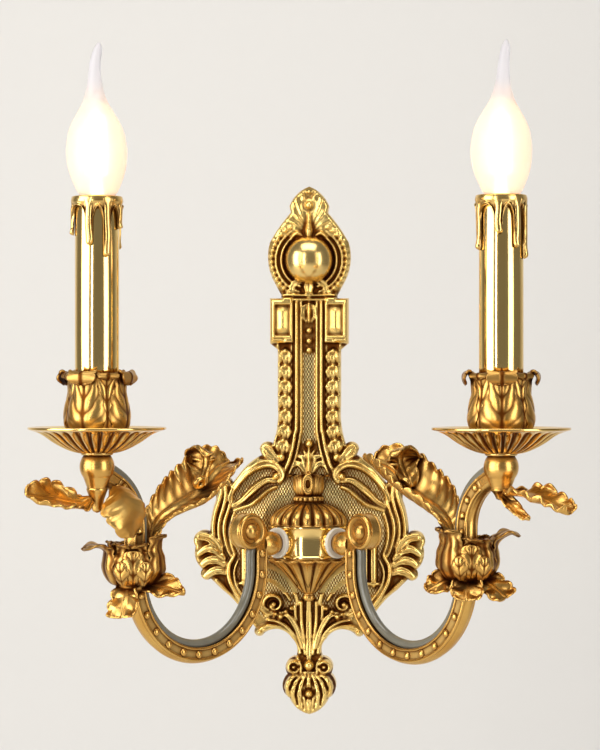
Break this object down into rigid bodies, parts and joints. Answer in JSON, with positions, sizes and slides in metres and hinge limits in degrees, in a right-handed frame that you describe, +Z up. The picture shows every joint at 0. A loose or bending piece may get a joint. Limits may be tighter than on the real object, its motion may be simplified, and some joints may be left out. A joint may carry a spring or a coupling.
{
  "type": "double arm wall sconce",
  "caption": "Cast brass wall sconce with curved arms, acanthus leaves, fluted drip pans, polished candle sleeves and bent-tip flame bulbs.",
  "frame": {"origin": "on the wall plane, midway between the two wall screws, level with the hub that the arms grow from", "axes": "+Y into the wall, so the front faces -Y; +Z up; +X to the right of someone facing the sconce"},
  "size_m": [0.3138, 0.1815, 0.3996],
  "materials": {
    "cast_brass": "cast and gilded, dark in the recesses",
    "polished_brass": "polished",
    "zinc_steel": "zinc plated",
    "connector": "moulded",
    "nylon": "satin white",
    "clear_flex": "clear grey sheath",
    "phenolic": "moulded",
    "frosted_glass": "frosted",
    "cap_metal": "bright",
    "glow": "glowing rods on a clear stem"
  },
  "bodies": {
    "wall_mount": {"back_plate": "cast_brass", "wall_strap": "zinc_steel", "clamp_screws": "zinc_steel", "earth_screw": "zinc_steel", "terminal_block": "connector", "hub_drum": "polished_brass", "urn": "cast_brass", "pendant": "cast_brass", "nylon_washer_left": "nylon", "nylon_washer_right": "nylon"},
    "arm_left": {"arm_nipple_left": "zinc_steel", "lock_nut_left": "zinc_steel", "arm_left": "cast_brass", "arm_cable_left": "clear_flex", "flower_cup_left": "cast_brass", "calyx_collar_left": "cast_brass", "tall_leaf_left": "cast_brass", "outer_leaf_left": "cast_brass", "side_leaf_left": "cast_brass", "drip_pan_left": "polished_brass", "candle_cup_left": "cast_brass", "candle_nipple_left": "zinc_steel", "lock_ring_left": "polished_brass", "lamp_holder_left": "phenolic"},
    "sleeve_left": {"candle_sleeve_left": "polished_brass", "drip_ring_left": "cast_brass"},
    "bulb_left": {"bulb_glass_left": "frosted_glass", "bulb_cap_left": "cap_metal", "bulb_filaments_left": "glow"},
    "arm_right": {"arm_nipple_right": "zinc_steel", "lock_nut_right": "zinc_steel", "arm_right": "cast_brass", "arm_cable_right": "clear_flex", "flower_cup_right": "cast_brass", "calyx_collar_right": "cast_brass", "tall_leaf_right": "cast_brass", "outer_leaf_right": "cast_brass", "side_leaf_right": "cast_brass", "drip_pan_right": "polished_brass", "candle_cup_right": "cast_brass", "candle_nipple_right": "zinc_steel", "lock_ring_right": "polished_brass", "lamp_holder_right": "phenolic"},
    "sleeve_right": {"candle_sleeve_right": "polished_brass", "drip_ring_right": "cast_brass"},
    "bulb_right": {"bulb_glass_right": "frosted_glass", "bulb_cap_right": "cap_metal", "bulb_filaments_right": "glow"}
  },
  "joints": [
    {"name": "arm_left_tilt", "type": "hinge", "parent": "wall_mount", "child": "arm_left", "pos_m": [-0.01828, -0.0336, 0], "axis": [-0.682, -0.7314, 0], "range_deg": [-5, 5]},
    {"name": "sleeve_left_lift", "type": "slide", "parent": "arm_left", "child": "sleeve_left", "axis": [0, 0, 1], "range_m": [0, 0.1]},
    {"name": "bulb_left_turn", "type": "hinge", "parent": "sleeve_left", "child": "bulb_left", "pos_m": [-0.11495, -0.13727, 0.2], "axis": [0, 0, 1], "range_deg": [0, 900]},
    {"name": "arm_right_tilt", "type": "hinge", "parent": "wall_mount", "child": "arm_right", "pos_m": [0.01828, -0.0336, 0], "axis": [0.682, -0.7314, 0], "range_deg": [-5, 5]},
    {"name": "sleeve_right_lift", "type": "slide", "parent": "arm_right", "child": "sleeve_right", "axis": [0, 0, 1], "range_m": [0, 0.1]},
    {"name": "bulb_right_turn", "type": "hinge", "parent": "sleeve_right", "child": "bulb_right", "pos_m": [0.11495, -0.13727, 0.2], "axis": [0, 0, 1], "range_deg": [0, 900]}
  ]
}
